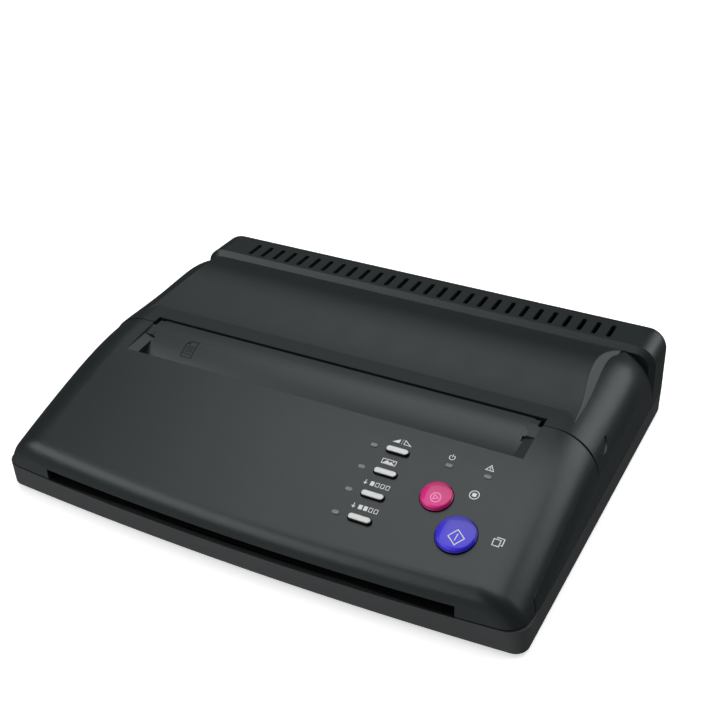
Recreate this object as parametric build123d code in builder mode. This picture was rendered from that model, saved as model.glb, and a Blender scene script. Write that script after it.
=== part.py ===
from build123d import *
import math
import os

os.makedirs("parts", exist_ok=True)

# ---------------------------------------------------------------------------
# Driving dimensions (mm).  X to the right facing the front, front at -Y,
# +Y to the rear, +Z up.  Origin: on the table under the middle of the case.
# ---------------------------------------------------------------------------
W = 275.0                 # overall width over the side walls
HW = W / 2
FOOT = 2.5                # height of the rubber feet under the case
CASE_TOP = 16.2           # upper rim of the lower case
LIP_TOP = 16.0            # rim of the lower case along the exit slot
PANEL_BOTTOM = 17.0       # lower edge of the front cover
ARM_BOTTOM = 16.7         # lower edge of the upper housing
FRONT_Y = -108.0          # middle of the bowed front wall
REAR_Y = 106.0            # rear wall
BOW = 6.0                 # how far the ends of the front wall stand back
WALL = 2.4                # wall thickness of the mouldings
R_PANEL = 23.0            # rounding of the cover's side edges
R_CHEEK = 21.5            # rounding of the housing's side edges
R_FRONT = 10.0            # rounding around the front wall
R_REAR = 7.0              # rounding around the rear wall
R_DECK = 11.0             # side rounding of the rear deck
DECK_Y = 77.0             # foot of the sloping front face of the raised rear deck
DECK_Z = 51.9             # top of the rear deck
SEAM_Y = -11.0            # rear edge of the front cover
SEAM_DROP = 13.2          # side seam runs this far under the top line
ARM_FRONT_Y = -86.0       # front end of the housing's side arms
SLOT_HALF = 107.2         # half length of the exit slot
SLOT_TOP = 22.7           # upper edge of the exit slot
TONGUE_Y = -7.7           # rear edge of the cover's tongue
LIP_Y = -5.8              # housing lip behind the stencil slot
TONGUE_HALF = 106.8       # half width of the tongue
RECESS_HALF = 108.8       # half width of the document recess
PIT_HALF = 103.4          # half width of its deep part
RECESS_Y0, RECESS_Y1 = -34.7, -16.6
TILT = 17.5               # slope of the key field, degrees
N_VENTS, VENT_HALF, VENT_W = 28, 109.9, 2.7
VENT_Y0, VENT_Y1 = 82.2, 95.0

# top line of the cover and the cheeks, (y, z)
TOP = [(-116, 26.0), (-95, 33.3), (-85, 36.8), (-72.4, 41.0), (-60, 44.9), (-48, 48.4),
       (-34.7, 51.6), (-24, 53.5), (-12, 54.7), (0, 55.0), (12, 55.1), (24, 55.5), (37, 56.4),
       (48, 57.0), (56, 56.7), (64, 55.0), (72, 51.9), (80, 47.6), (86, 43.6)]
# crest line of the hump behind the stencil slot
HUMP = [(-2, 54.5), (4, 55.0), (11, 55.75), (19, 57.2), (30, 59.4), (42, 60.7), (50, 60.3), (58, 58.6),
        (66, 55.6), (73, 51.7), (79.5, 47.9)]

# floor of the document recess, rising smoothly into the tongue
FLOOR = [(-44.0, 31.8), (-39.4, 36.2), (-34.7, 40.7), (-31.0, 44.1), (-27.0, 47.5), (-23.0, 50.3), (-19.0, 52.4),
         (-15.0, 53.7), (-11.0, 54.35), (-7.0, 54.55)]


def top_z(y):
    for (y0, z0), (y1, z1) in zip(TOP, TOP[1:]):
        if y0 <= y <= y1:
            return z0 + (z1 - z0) * (y - y0) / (y1 - y0)
    raise ValueError(y)


def front_y(x, y0=FRONT_Y):
    return y0 + BOW * (x / HW) ** 2


def wedge(pts, y_front, y_rear, half, side_r, front_r, z0):
    """Wedge with a curved top line, bowed front, rounded sides and front."""
    with BuildPart() as b:
        with BuildSketch(Plane.YZ):
            with BuildLine():
                Spline(*pts)
                Polyline(pts[-1], (pts[-1][0], z0), (pts[0][0], z0), pts[0])
            make_face()
        extrude(amount=half, both=True)
        with BuildSketch(Plane.XY.offset(z0)):
            with BuildLine():
                ThreePointArc((-half, y_front + BOW), (0, y_front), (half, y_front + BOW))
                Polyline((half, y_front + BOW), (half, y_rear), (-half, y_rear), (-half, y_front + BOW))
            make_face()
        extrude(amount=90, mode=Mode.INTERSECT)
        tops = [e for e in b.edges().filter_by(GeomType.BSPLINE) if abs(abs(e.center().X) - half) < 0.1]
        fillet(tops, side_r)
        face = b.faces().sort_by(Axis.Y)[0]
        loop = [e for e in face.edges() if e.center().Z > z0 + 0.5]
        fillet(loop, front_r)
    return b.part


def deck_block(y_front, y_rear, half, top, side_r, rear_r, z0, slope=0):
    with BuildPart() as b:
        with BuildSketch(Plane.XY.offset(z0)):
            with Locations((0, (y_front + y_rear) / 2)):
                Rectangle(2 * half, y_rear - y_front)
        extrude(amount=top - z0)
        tops = [e for e in b.edges().filter_by(Axis.Y) if e.center().Z > top - 0.1]
        fillet(tops, side_r)
        face = b.faces().sort_by(Axis.Y)[-1]
        loop = [e for e in face.edges() if e.center().Z > z0 + 0.5]
        fillet(loop, rear_r)
        if slope:
            face = b.faces().sort_by(Axis.Y)[0]
            loop = [e for e in face.edges() if e.center().Z > z0 + 0.5]
            chamfer(loop, slope)
    return b.part


def inset(pts, d):
    out = []
    for i, (y, z) in enumerate(pts):
        a = pts[max(i - 1, 0)]
        c = pts[min(i + 1, len(pts) - 1)]
        ty, tz = c[0] - a[0], c[1] - a[1]
        n = math.hypot(ty, tz)
        out.append((y + d * tz / n, z - d * ty / n))
    return out


# --- outer and inner envelopes ----------------------------------------------
cover_outer = wedge(TOP, FRONT_Y, 20, HW, R_PANEL, R_FRONT, 3)
cover_inner = wedge(inset(TOP, WALL), FRONT_Y + WALL, 24, HW - WALL, R_PANEL - WALL, R_FRONT - WALL, 1)


def back_wedge(pts, y0, y1, half, side_r, z0):
    use = [p for p in pts if y0 - 1 <= p[0] <= y1 + 8]
    with BuildPart() as b:
        with BuildSketch(Plane.YZ):
            with BuildLine():
                Spline(*use)
                Polyline(use[-1], (use[-1][0], z0), (use[0][0], z0), use[0])
            make_face()
        extrude(amount=half, both=True)
        tops = [e for e in b.edges().filter_by(GeomType.BSPLINE)]
        fillet(tops, side_r)
        with BuildSketch(Plane.XY.offset(z0)):
            with Locations((0, (y0 + y1) / 2)):
                Rectangle(2 * half, y1 - y0)
        extrude(amount=90, mode=Mode.INTERSECT)
    return b.part


cheek_outer = back_wedge(TOP, -24, 81.5, HW, R_CHEEK, 3)
cheek_inner = back_wedge(inset(TOP, WALL), -40, 84.5, HW - WALL, R_CHEEK - WALL, 1)
deck_outer = deck_block(DECK_Y, REAR_Y, HW, DECK_Z, R_DECK, R_REAR, 3, 3.0)
deck_inner = deck_block(82.0, REAR_Y - WALL, HW - WALL, DECK_Z - WALL, R_DECK - WALL, R_REAR - WALL, 1)

with BuildPart() as hump:
    with BuildSketch(Plane.YZ):
        with BuildLine():
            Spline(*HUMP)
            Polyline(HUMP[-1], (HUMP[-1][0], 44), (HUMP[0][0], 44), HUMP[0])
        make_face()
    extrude(amount=124, both=True)
    # slanted end faces
    for s in (-1, 1):
        with BuildSketch(Plane.XZ.offset(-90)):
            Polygon((s * 121.4, 54.4), (s * 114.2, 62.4), (s * 130, 62.4), (s * 130, 40), (s * 121.4, 40),
                    align=None)
        extrude(amount=100, mode=Mode.SUBTRACT)
    top_edges = [e for e in hump.edges() if e.geom_type == GeomType.BSPLINE and abs(e.center().X) > 110
                 and e.center().Z > 54]
    fillet(top_edges, 1.2)

with BuildPart() as hump_inner:
    with BuildSketch(Plane.YZ):
        with BuildLine():
            low = inset(HUMP, WALL)
            Spline(*low)
            Polyline(low[-1], (low[-1][0], 40), (low[0][0], 40), low[0])
        make_face()
    extrude(amount=112, both=True)


def seam_curve(drop):
    ys = [-86 + i * 5 for i in range(16)]
    return [(y, top_z(y) - SEAM_DROP - drop) for y in ys]


def yz_prism(points, x0, x1):
    """Prism along X between x0 and x1 over a polygon given as (y, z)."""
    with BuildPart() as b:
        with BuildSketch(Plane.YZ.offset(x0)):
            with BuildLine():
                Polyline(*points, close=True)
            make_face()
        extrude(amount=x1 - x0)
    return b.part


def curved_prism(curve, rest, x0, x1):
    """Prism along X whose outline is a smooth curve through points, closed by straight runs."""
    with BuildPart() as b:
        with BuildSketch(Plane.YZ.offset(x0)):
            with BuildLine():
                Spline(*curve)
                Polyline(curve[-1], *rest, curve[0])
            make_face()
        extrude(amount=x1 - x0)
    return b.part


def cyl_x(x0, x1, y, z, r):
    with BuildPart() as b:
        with BuildSketch(Plane.YZ.offset(x0)):
            with Locations((y, z)):
                Circle(r)
        extrude(amount=x1 - x0)
    return b.part


def box(x0, x1, y0, y1, z0, z1):
    with BuildPart() as b:
        with BuildSketch(Plane.XY.offset(z0)):
            with Locations(((x0 + x1) / 2, (y0 + y1) / 2)):
                Rectangle(x1 - x0, y1 - y0)
        extrude(amount=z1 - z0)
    return b.part


def cyl_z(x, y, z0, z1, r):
    with BuildPart() as b:
        with BuildSketch(Plane.XY.offset(z0)):
            with Locations((x, y)):
                Circle(r)
        extrude(amount=z1 - z0)
    return b.part


def trimmed(a, b):
    """Common volume of two solids."""
    with BuildPart() as c:
        add(a)
        add(b, mode=Mode.INTERSECT)
    return c.part


# ---------------------------------------------------------------------------
# Positions of the mechanism, (y, z)
# ---------------------------------------------------------------------------
HINGE = (-102.3, 19.6)
PLATEN = (8.3, 30.0)


def polar(c, d, deg):
    return (c[0] + d * math.cos(math.radians(deg)), c[1] + d * math.sin(math.radians(deg)))


MOD = 1.0
GAP = 0.1                                    # added to each centre distance
N_PLATEN, N_IDLE1, N_IDLE2, N_FEED, N_EXIT, N_MOTOR = 30, 26, 26, 18, 14, 12
IDLE1 = polar(PLATEN, (N_PLATEN + N_IDLE1) / 2 + GAP, 188)
IDLE2 = polar(IDLE1, (N_IDLE1 + N_IDLE2) / 2 + GAP, 188)
D_FEED = (N_IDLE2 + N_FEED) / 2 + GAP
FEED_Z = 25.6
FEED = (IDLE2[0] - math.sqrt(D_FEED ** 2 - (FEED_Z - IDLE2[1]) ** 2), FEED_Z)
EXIT = polar(FEED, (N_FEED + N_EXIT) / 2 + GAP, 180 + 35)
MOTOR = polar(PLATEN, (N_PLATEN + N_MOTOR) / 2 + GAP, 10)

# frame of the key field: origin on the surface, v up the slope
KEY_Y = -66.0
KEY_Z = top_z(KEY_Y)
KEYS = Plane(origin=(0, KEY_Y, KEY_Z), x_dir=(1, 0, 0),
             z_dir=(0, -math.sin(math.radians(TILT)), math.cos(math.radians(TILT))))
PILL_X, LED_X = 53.9, 41.9
PILL_V = (17.1, 4.2, -8.8, -21.8)
PILL_L, PILL_H = 11.4, 3.4
STOP = (81.0, 0.1, 7.5)                      # x, v, radius
COPY = (96.9, -15.05, 9.2)
LEDS = [(LED_X, v) for v in PILL_V] + [(79.3, 17.6), (97.9, 17.5)]
KEY_GAP = 0.35
BOARD_X, BOARD_V = (30.0, 110.0), (-27.0, 24.0)
BOARD_SCREWS = [(34.0, -23.0), (107.2, -24.2), (34.0, 20.0), (106.0, 20.0)]


def key_prism(x, v, w, h, n0, n1, r=None):
    """Pill (or disc when r is given) standing on the key field from n0 to n1."""
    with BuildPart() as b:
        with BuildSketch(KEYS.offset(n0)):
            with Locations((x, v)):
                if r is None:
                    SlotOverall(w, h)
                else:
                    Circle(r)
        extrude(amount=n1 - n0)
    return b.part


def round_cap(x, v, r, edge, crown):
    """Round key cap on the key field: straight skirt up to edge, shallow dome up to crown."""
    c = KEYS.from_local_coords((x, v, 0))
    drop = crown - edge
    ball = (r * r + drop * drop) / (2 * drop)
    mid = crown - (ball - math.sqrt(ball * ball - r * r / 4))
    with BuildPart() as b:
        with BuildSketch(Plane(origin=c, x_dir=(1, 0, 0), z_dir=-KEYS.y_dir)):
            with BuildLine():
                Polyline((0, crown), (0, -3.6), (r, -3.6), (r, edge))
                ThreePointArc((r, edge), (r / 2, mid), (0, crown))
            make_face()
        revolve(axis=Axis(c, KEYS.z_dir))
        rims = [e for e in b.edges().filter_by(GeomType.CIRCLE) if abs(e.radius - r) < 0.01]
        fillet(max(rims, key=lambda e: (e.arc_center - c).dot(KEYS.z_dir)), 0.7)
    return b.part


# ---------------------------------------------------------------------------
# Front cover with the key field
# ---------------------------------------------------------------------------
seam = seam_curve(0)
with BuildPart() as control_panel:
    add(cover_outer)
    add(cover_inner, mode=Mode.SUBTRACT)
    add(yz_prism([(-130, PANEL_BOTTOM), (-88.3, PANEL_BOTTOM), (-86.4, seam[0][1] - 0.1)] + seam[1:]
                 + [(TONGUE_Y, seam[-1][1] + 0.4), (TONGUE_Y, 80), (-130, 80)], -140, 140), mode=Mode.INTERSECT)
    # rear edge: only the middle tongue reaches into the stencil slot
    for s in (-1, 1):
        xa, xb = (TONGUE_HALF, 109.2) if s > 0 else (-109.2, -TONGUE_HALF)
        add(box(xa, xb, -12.0, 0, 20, 80), mode=Mode.SUBTRACT)
        xa, xb = (109.2, 140) if s > 0 else (-140, -109.2)
        add(box(xa, xb, SEAM_Y, 0, 20, 80), mode=Mode.SUBTRACT)
    # document recess: pit, end walls, smooth floor, slanted ledges beside it
    add(box(-PIT_HALF, PIT_HALF, RECESS_Y0, RECESS_Y1, 30, 80), mode=Mode.SUBTRACT)
    add(curved_prism(FLOOR, [(-7.0, 62.0), (RECESS_Y0, 62.0), (RECESS_Y0, 46.0), (-44.0, 36.0)],
                     -PIT_HALF - 0.5, PIT_HALF + 0.5), mode=Mode.SUBTRACT)
    for s in (-1, 1):
        xa, xb = (PIT_HALF, PIT_HALF + 2.0) if s > 0 else (-PIT_HALF - 2.0, -PIT_HALF)
        add(yz_prism([(RECESS_Y1 + 0.5, 52.2), (RECESS_Y0, 50.2), (-38.0, 46.0), (-39.6, 40.0), (-45.5, 31.0), (-43.0, 31.6),
                      (-34.0, 38.0), (-27.0, 44.0), (-19.0, 50.0), (RECESS_Y1 + 0.5, 51.2)], xa, xb))
        xa, xb = (PIT_HALF, RECESS_HALF + 0.6) if s > 0 else (-RECESS_HALF - 0.6, -PIT_HALF)
        add(yz_prism([(RECESS_Y0, 48.2), (-24, 49.0), (-12.5, 50.8), (-12.5, 53.0),
                      (-24, 51.9), (RECESS_Y0, 50.8)], xa, xb))
    with BuildSketch(Plane.YZ.offset(-PIT_HALF - 0.5)):
        with BuildLine():
            under = inset(FLOOR, 1.6)
            Spline(*FLOOR)
            Spline(*under)
            Line(FLOOR[0], under[0])
            Line(FLOOR[-1], under[-1])
        make_face()
    extrude(amount=2 * PIT_HALF + 1.0)
    LEDGE = math.atan2(1.5, 17.7)
    for s in (-1, 1):
        xa, xb = (PIT_HALF - 1, RECESS_HALF) if s > 0 else (-RECESS_HALF, 1 - PIT_HALF)
        add(yz_prism([(RECESS_Y0, top_z(RECESS_Y0)), (-19.0, 52.9), (-15.0, 53.65), (-11.0, 54.3), (-7.0, 54.5),
                      (-7.0, 62.0), (RECESS_Y0, 62.0)], xa, xb), mode=Mode.SUBTRACT)
        with BuildSketch(Plane(origin=(0, RECESS_Y0, top_z(RECESS_Y0)), x_dir=(1, 0, 0),
                               z_dir=(0, math.cos(LEDGE), math.sin(LEDGE)))):
            with BuildLine():
                Polyline((s * RECESS_HALF, 0.05), (s * (PIT_HALF - 1), 1.9), (s * (PIT_HALF - 1), -6),
                         (s * RECESS_HALF, -6), close=True)
            make_face()
        extrude(amount=15.4, mode=Mode.SUBTRACT)
    # inner lip hanging from the front edge of the recess
    add(yz_prism([(-34.7, 49.6), (-36.3, 49.6), (-38.8, 45.8), (-38.0, 45.2), (-34.7, 48.0)],
                 -PIT_HALF - 0.5, PIT_HALF + 0.5))
    # upper edge of the exit slot
    add(box(-SLOT_HALF, SLOT_HALF, -125, -90, 0, SLOT_TOP), mode=Mode.SUBTRACT)
    # posts under the key field
    for x, v in BOARD_SCREWS:
        add(key_prism(x, v, 0, 0, -7.0, -1.6, r=3.0))
        add(key_prism(x, v, 0, 0, -8.0, -2.2, r=1.05), mode=Mode.SUBTRACT)
    # hinge eyes in the front corners, latch lugs at the rear corners
    for s in (-1, 1):
        for a, b in ((112.0, 115.9), (118.1, 122.0)):
            xa, xb = (a, b) if s > 0 else (-b, -a)
            add(trimmed(cyl_x(xa, xb, HINGE[0], HINGE[1], 2.3), cover_outer))
        xa, xb = (112.0, 122.0) if s > 0 else (-122.0, -112.0)
        add(cyl_x(xa, xb, HINGE[0], HINGE[1], 0.9), mode=Mode.SUBTRACT)
        xa, xb = (115.9, 118.1) if s > 0 else (-118.1, -115.9)
        add(box(xa, xb, -102.9, -95, 16.5, 21.9), mode=Mode.SUBTRACT)
        xa, xb = (130.4, 131.8) if s > 0 else (-131.8, -130.4)
        add(box(xa, xb, -15.0, -11.6, 35.0, 44.5))
        xa, xb = (129.2, 131.0) if s > 0 else (-131.0, -129.2)
        add(box(xa, xb, -15.0, -11.6, 35.0, 36.2))
    # holes for keys and lenses
    for v in PILL_V:
        add(key_prism(PILL_X, v, PILL_L + 2 * KEY_GAP, PILL_H + 2 * KEY_GAP, -5, 5), mode=Mode.SUBTRACT)
    for x, v, r in (STOP, COPY):
        add(key_prism(x, v, 0, 0, -5, 5, r=r + KEY_GAP), mode=Mode.SUBTRACT)
    for x, v in LEDS:
        add(key_prism(x, v, 3.4, 1.9, -5, 5), mode=Mode.SUBTRACT)
control_panel.part.label = "control_panel"
export_step(control_panel.part, "parts/control_panel.step")

# ---------------------------------------------------------------------------
# Keys, lenses, switch board
# ---------------------------------------------------------------------------
for i, v in enumerate(PILL_V, 1):
    with BuildPart() as key:
        add(key_prism(PILL_X, v, PILL_L, PILL_H, -3.6, 1.5))
        rim = key.faces().sort_by(Axis.Z)[-1].edges()
        fillet(rim, 0.8)
        add(key_prism(PILL_X, v, PILL_L + 1.8, PILL_H + 1.8, -3.7, -3.0))
        add(key_prism(PILL_X, v, 0, 0, -3.9, -3.6, r=1.6))
    key.part.label = f"mode_key_{i}"
    export_step(key.part, f"parts/mode_key_{i}.step")
for name, (x, v, r) in (("stop_key", STOP), ("copy_key", COPY)):
    with BuildPart() as key:
        add(round_cap(x, v, r, 0.7, 2.6))
        add(key_prism(x, v, 0, 0, -3.7, -3.0, r=r + 0.8))
        add(key_prism(x, v, 0, 0, -3.9, -3.6, r=2.0))
    key.part.label = name
    export_step(key.part, f"parts/{name}.step")
with BuildPart() as indicator_lenses:
    for x, v in LEDS:
        add(key_prism(x, v, 3.4, 1.9, -3.2, 0.15))
indicator_lenses.part.label = "indicator_lenses"
export_step(indicator_lenses.part, "parts/indicator_lenses.step")
with BuildPart() as tact_switches:
    for x, v in [(PILL_X, v) for v in PILL_V] + [(STOP[0], STOP[1]), (COPY[0], COPY[1])]:
        with BuildSketch(KEYS.offset(-7.0)):
            with Locations((x, v)):
                Rectangle(6, 6)
        extrude(amount=1.5)
        add(key_prism(x, v, 0, 0, -5.5, -4.7, r=1.6))
tact_switches.part.label = "tact_switches"
export_step(tact_switches.part, "parts/tact_switches.step")
with BuildPart() as keypad_board:
    with BuildSketch(KEYS.offset(-8.6)):
        with Locations(((BOARD_X[0] + BOARD_X[1]) / 2, (BOARD_V[0] + BOARD_V[1]) / 2)):
            Rectangle(BOARD_X[1] - BOARD_X[0], BOARD_V[1] - BOARD_V[0])
        with Locations(*BOARD_SCREWS):
            Circle(1.1, mode=Mode.SUBTRACT)
    extrude(amount=1.6)
keypad_board.part.label = "keypad_board"
export_step(keypad_board.part, "parts/keypad_board.step")
with BuildPart() as keypad_screws:
    for x, v in BOARD_SCREWS:
        add(key_prism(x, v, 0, 0, -8.6, -3.4, r=1.0))
        add(key_prism(x, v, 0, 0, -9.9, -8.6, r=2.1))
keypad_screws.part.label = "keypad_screws"
export_step(keypad_screws.part, "parts/keypad_screws.step")
with BuildPart() as hinge_pins:
    for s in (-1, 1):
        xa, xb = (112.0, 122.0) if s > 0 else (-122.0, -112.0)
        add(cyl_x(xa, xb, HINGE[0], HINGE[1], 0.9))
hinge_pins.part.label = "hinge_pins"
export_step(hinge_pins.part, "parts/hinge_pins.step")

# ---------------------------------------------------------------------------
# Upper housing: side arms, cheeks, hump, raised deck with vents
# ---------------------------------------------------------------------------
with BuildPart() as arm_region:
    add(cover_outer)
    add(yz_prism([(-87.7, ARM_BOTTOM), (-85.8, seam[0][1] - 0.3)] + [(y, z - 0.3) for y, z in seam_curve(0)[1:]]
                 + [(-10.0, seam[-1][1]), (-10.0, ARM_BOTTOM)], -140, 140), mode=Mode.INTERSECT)
with BuildPart() as cheek_region:
    add(cheek_outer)
    add(yz_prism([(-10.6, ARM_BOTTOM), (-10.6, 80), (100, 80), (100, ARM_BOTTOM)], -140, 140), mode=Mode.INTERSECT)
with BuildPart() as deck_region:
    add(deck_outer)
    add(box(-140, 140, 70, 120, ARM_BOTTOM, 80), mode=Mode.INTERSECT)

LATCH_Y, LATCH_TOP, LATCH_R = -1.0, 45.2, 9.0


def half_moon(x0, x1, grow):
    """D-shaped prism, flat side up, for the latch buttons and their windows."""
    r = LATCH_R + grow
    with BuildPart() as b:
        with BuildSketch(Plane.YZ.offset(x0)):
            with Locations((LATCH_Y, LATCH_TOP + 4.0)):
                Circle(r)
            with Locations((LATCH_Y, LATCH_TOP + grow + 20)):
                Rectangle(60, 40, mode=Mode.SUBTRACT)
        extrude(amount=x1 - x0)
    return b.part


POSTS = [(sx * x, y) for sx in (-1, 1) for x, y in ((130.0, -62.0), (130.0, 38.0), (127.5, 94.0))]

with BuildPart() as upper_housing:
    add(arm_region.part)
    add(cheek_region.part)
    add(hump.part)
    add(deck_region.part)
    add(cover_inner, mode=Mode.SUBTRACT)
    add(cheek_inner, mode=Mode.SUBTRACT)
    add(deck_inner, mode=Mode.SUBTRACT)
    add(hump_inner.part, mode=Mode.SUBTRACT)
    # opening between the arms, and the stencil slot in front of the lip
    add(box(-109.2, 109.2, -30, LIP_Y, 0, 80), mode=Mode.SUBTRACT)
    # raised edge along the stencil slot
    add(box(-109.2, 109.2, LIP_Y, LIP_Y + 1.2, 50.5, top_z(LIP_Y) + 0.3))
    # vents
    with BuildSketch(Plane.XY.offset(44)):
        with GridLocations(2 * VENT_HALF / (N_VENTS - 1), 0, N_VENTS, 1):
            with Locations((0, (VENT_Y0 + VENT_Y1) / 2)):
                SlotOverall(VENT_Y1 - VENT_Y0, VENT_W, rotation=90)
    extrude(amount=12, mode=Mode.SUBTRACT)
    # screw posts tied to the side walls
    for x, y in POSTS:
        s = 1 if x > 0 else -1
        add(cyl_z(x, y, 14.0, 26.0, 3.5))
        xa, xb = (x, HW - 1.2) if s > 0 else (-HW + 1.2, x)
        add(box(xa, xb, y - 1.2, y + 1.2, 17.0, 26.0))
        add(cyl_z(x, y, 13.0, 24.0, 1.5), mode=Mode.SUBTRACT)
    # latch windows and the webs their springs rest on
    for s in (-1, 1):
        xa, xb = (126.5, 140) if s > 0 else (-140, -126.5)
        add(half_moon(xa, xb, 0.25), mode=Mode.SUBTRACT)
        xa, xb = (125.2, 126.4) if s > 0 else (-126.4, -125.2)
        add(box(xa, xb, -3.0, 7.0, 37.0, 52.0))
    # openings in the rear wall for the power inlet and the rocker switch
    add(box(-107.2, -92.8, 100, 110, 23.8, 37.2), mode=Mode.SUBTRACT)
    add(box(-79.2, -60.8, 100, 110, 24.8, 39.2), mode=Mode.SUBTRACT)
upper_housing.part.label = "upper_housing"
export_step(upper_housing.part, "parts/upper_housing.step")

# ---------------------------------------------------------------------------
# Latch buttons with their springs
# ---------------------------------------------------------------------------
# the buttons' faces stand a little back from the side walls
latch_face = back_wedge(inset(TOP, 0.9), -30, 84, HW - 0.9, R_CHEEK - 0.9, 3)
for s, name in ((-1, "latch_button_left"), (1, "latch_button_right")):
    def xr(a, b):
        return (a, b) if s > 0 else (-b, -a)
    moon = trimmed(half_moon(*xr(130.5, 139.0), 0), latch_face)
    with BuildPart() as button:
        add(moon)
        xa, xb = xr(129.3, 130.8)
        add(box(xa, xb, -9.6, 9.0, 38.2, 45.5))
        xa, xb = xr(127.4, 129.6)
        add(box(xa, xb, -9.0, -5.0, 37.4, 39.6))
        xa, xb = xr(127.4, 128.8)
        add(box(xa, xb, -14.5, -5.0, 36.6, 39.6))
    button.part.label = name
    export_step(button.part, f"parts/{name}.step")


def coil(x0, y0, z0, axis, length, r, wire, turns):
    """Compression spring of round wire starting at a point, along +X, +Y or +Z."""
    height = length - wire
    with BuildPart() as b:
        with BuildLine() as path:
            Helix(pitch=height / turns, height=height, radius=r)
        with BuildSketch(Plane(origin=path.line @ 0, z_dir=path.line % 0)):
            Circle(wire / 2)
        sweep()
    turned = {"z": Rotation(0, 0, 0), "y": Rotation(-90, 0, 0), "x": Rotation(0, 90, 0)}[axis]
    shift = {"z": (0, 0, wire / 2), "y": (0, wire / 2, 0), "x": (wire / 2, 0, 0)}[axis]
    return Pos(x0 + shift[0], y0 + shift[1], z0 + shift[2]) * turned * b.part


with BuildPart() as latch_springs:
    for x0 in (126.4, -129.3):
        add(coil(x0 + 0.05, 2.0, 43.0, "x", 2.8, 1.8, 0.35, 3))
latch_springs.part.label = "latch_springs"
export_step(latch_springs.part, "parts/latch_springs.step")

# ---------------------------------------------------------------------------
# Lower case
# ---------------------------------------------------------------------------


def plan(z, half, yf, bow, yr, rf, rr):
    with BuildSketch(Plane.XY.offset(z)) as s:
        with BuildLine():
            ThreePointArc((-half, yf + bow), (0, yf), (half, yf + bow))
            Polyline((half, yf + bow), (half, yr), (-half, yr), (-half, yf + bow))
        make_face()
        front = [v for v in s.vertices() if v.Y < 0]
        fillet(front, rf)
        rear = [v for v in s.vertices() if v.Y > yr - 1 and abs(v.X) > half - 1]
        fillet(rear, rr)
    return s.sketch


with BuildPart() as case_body:
    add(plan(FOOT, 137.3, -104.6, 4.5, 104.6, 6.5, 6))
    add(plan(CASE_TOP, HW, FRONT_Y, BOW, REAR_Y, R_FRONT, R_REAR))
    loft(ruled=True)
    low_edges = case_body.faces().sort_by(Axis.Z)[0].edges()
    fillet(low_edges, 0.8)
with BuildPart() as case_cavity:
    add(plan(5.0, 134.9, -102.2, 4.5, 102.2, 5, 5))
    add(plan(CASE_TOP + 2.0, HW - 2.2, FRONT_Y + 2.0, BOW, REAR_Y - 2.0, R_FRONT - 2.2, R_REAR - 2.2))
    loft(ruled=True)
FEET = [(-108.0, -84.0), (108.0, -84.0), (-108.0, 84.0), (108.0, 84.0)]
with BuildPart() as lower_case:
    add(case_body.part)
    add(case_cavity.part, mode=Mode.SUBTRACT)
    add(box(-SLOT_HALF, SLOT_HALF, -115, -96, LIP_TOP, 20), mode=Mode.SUBTRACT)
    add(box(-112.5, 112.5, 96, 115, 8.0, 13.0), mode=Mode.SUBTRACT)
    for x, y in POSTS:
        add(cyl_z(x, y, 4.0, 14.0, 4.2))
    for x, y in POSTS:
        add(cyl_z(x, y, 2.0, 7.0, 2.9), mode=Mode.SUBTRACT)
        add(cyl_z(x, y, 2.0, 16.0, 1.6), mode=Mode.SUBTRACT)
    for x, y in FEET:
        add(cyl_z(x, y, 2.0, 3.3, 7.1), mode=Mode.SUBTRACT)
    # ribs under the stencil guide and the main board
    for y in (34.0, 60.0, 86.0):
        add(box(-100, 100, y, y + 1.5, 4.5, 7.2))
lower_case.part.label = "lower_case"
export_step(lower_case.part, "parts/lower_case.step")

with BuildPart() as rubber_feet:
    for x, y in FEET:
        add(cyl_z(x, y, 0, 3.3, 7.0))
    rims = rubber_feet.edges().filter_by(GeomType.CIRCLE).group_by(Axis.Z)[0]
    fillet(rims, 0.6)
rubber_feet.part.label = "rubber_feet"
export_step(rubber_feet.part, "parts/rubber_feet.step")
with BuildPart() as case_screws:
    for x, y in POSTS:
        add(cyl_z(x, y, 5.3, 7.0, 2.7))
        add(cyl_z(x, y, 7.0, 23.0, 1.45))
case_screws.part.label = "case_screws"
export_step(case_screws.part, "parts/case_screws.step")

# ---------------------------------------------------------------------------
# Side frames, bushings, cross bar
# ---------------------------------------------------------------------------
FRAME = [(-90, 5), (-90, 17.1), (HINGE[0] + 2.5, HINGE[1] - 2.5), (HINGE[0], HINGE[1] - 1.1), (HINGE[0], HINGE[1] + 1.7),
         (-90, HINGE[1] + 1.7), (-90, 24), (-60, 36), (-30, 44), (20, 46), (60, 40), (60, 5)]
FRAME_IN, FRAME_OUT = 116.4, 117.6
BUSH_R = 4.5
for s, name in ((-1, "side_frame_left"), (1, "side_frame_right")):
    xa, xb = (FRAME_IN, FRAME_OUT) if s > 0 else (-FRAME_OUT, -FRAME_IN)
    with BuildPart() as frame:
        add(yz_prism(FRAME, xa, xb))
        ya, yb = (FRAME_OUT - 0.2, 124.0) if s > 0 else (-124.0, -FRAME_OUT + 0.2)
        for y0, y1 in ((-86, -74), (-10, 2), (46, 58)):
            add(box(ya, yb, y0, y1, 5.0, 6.2))
        add(cyl_x(xa - 1, xb + 1, HINGE[0], HINGE[1], 0.95), mode=Mode.SUBTRACT)
        for c in (PLATEN, FEED, EXIT):
            add(cyl_x(xa - 1, xb + 1, c[0], c[1], BUSH_R), mode=Mode.SUBTRACT)
        if s > 0:
            add(cyl_x(xa - 1, xb + 1, MOTOR[0], MOTOR[1], 4.0), mode=Mode.SUBTRACT)
        # weight-saving windows
        add(yz_prism([(30, 12), (30, 20), (52, 26), (52, 12)], xa - 1, xb + 1), mode=Mode.SUBTRACT)
    frame.part.label = name
    export_step(frame.part, f"parts/{name}.step")
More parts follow.
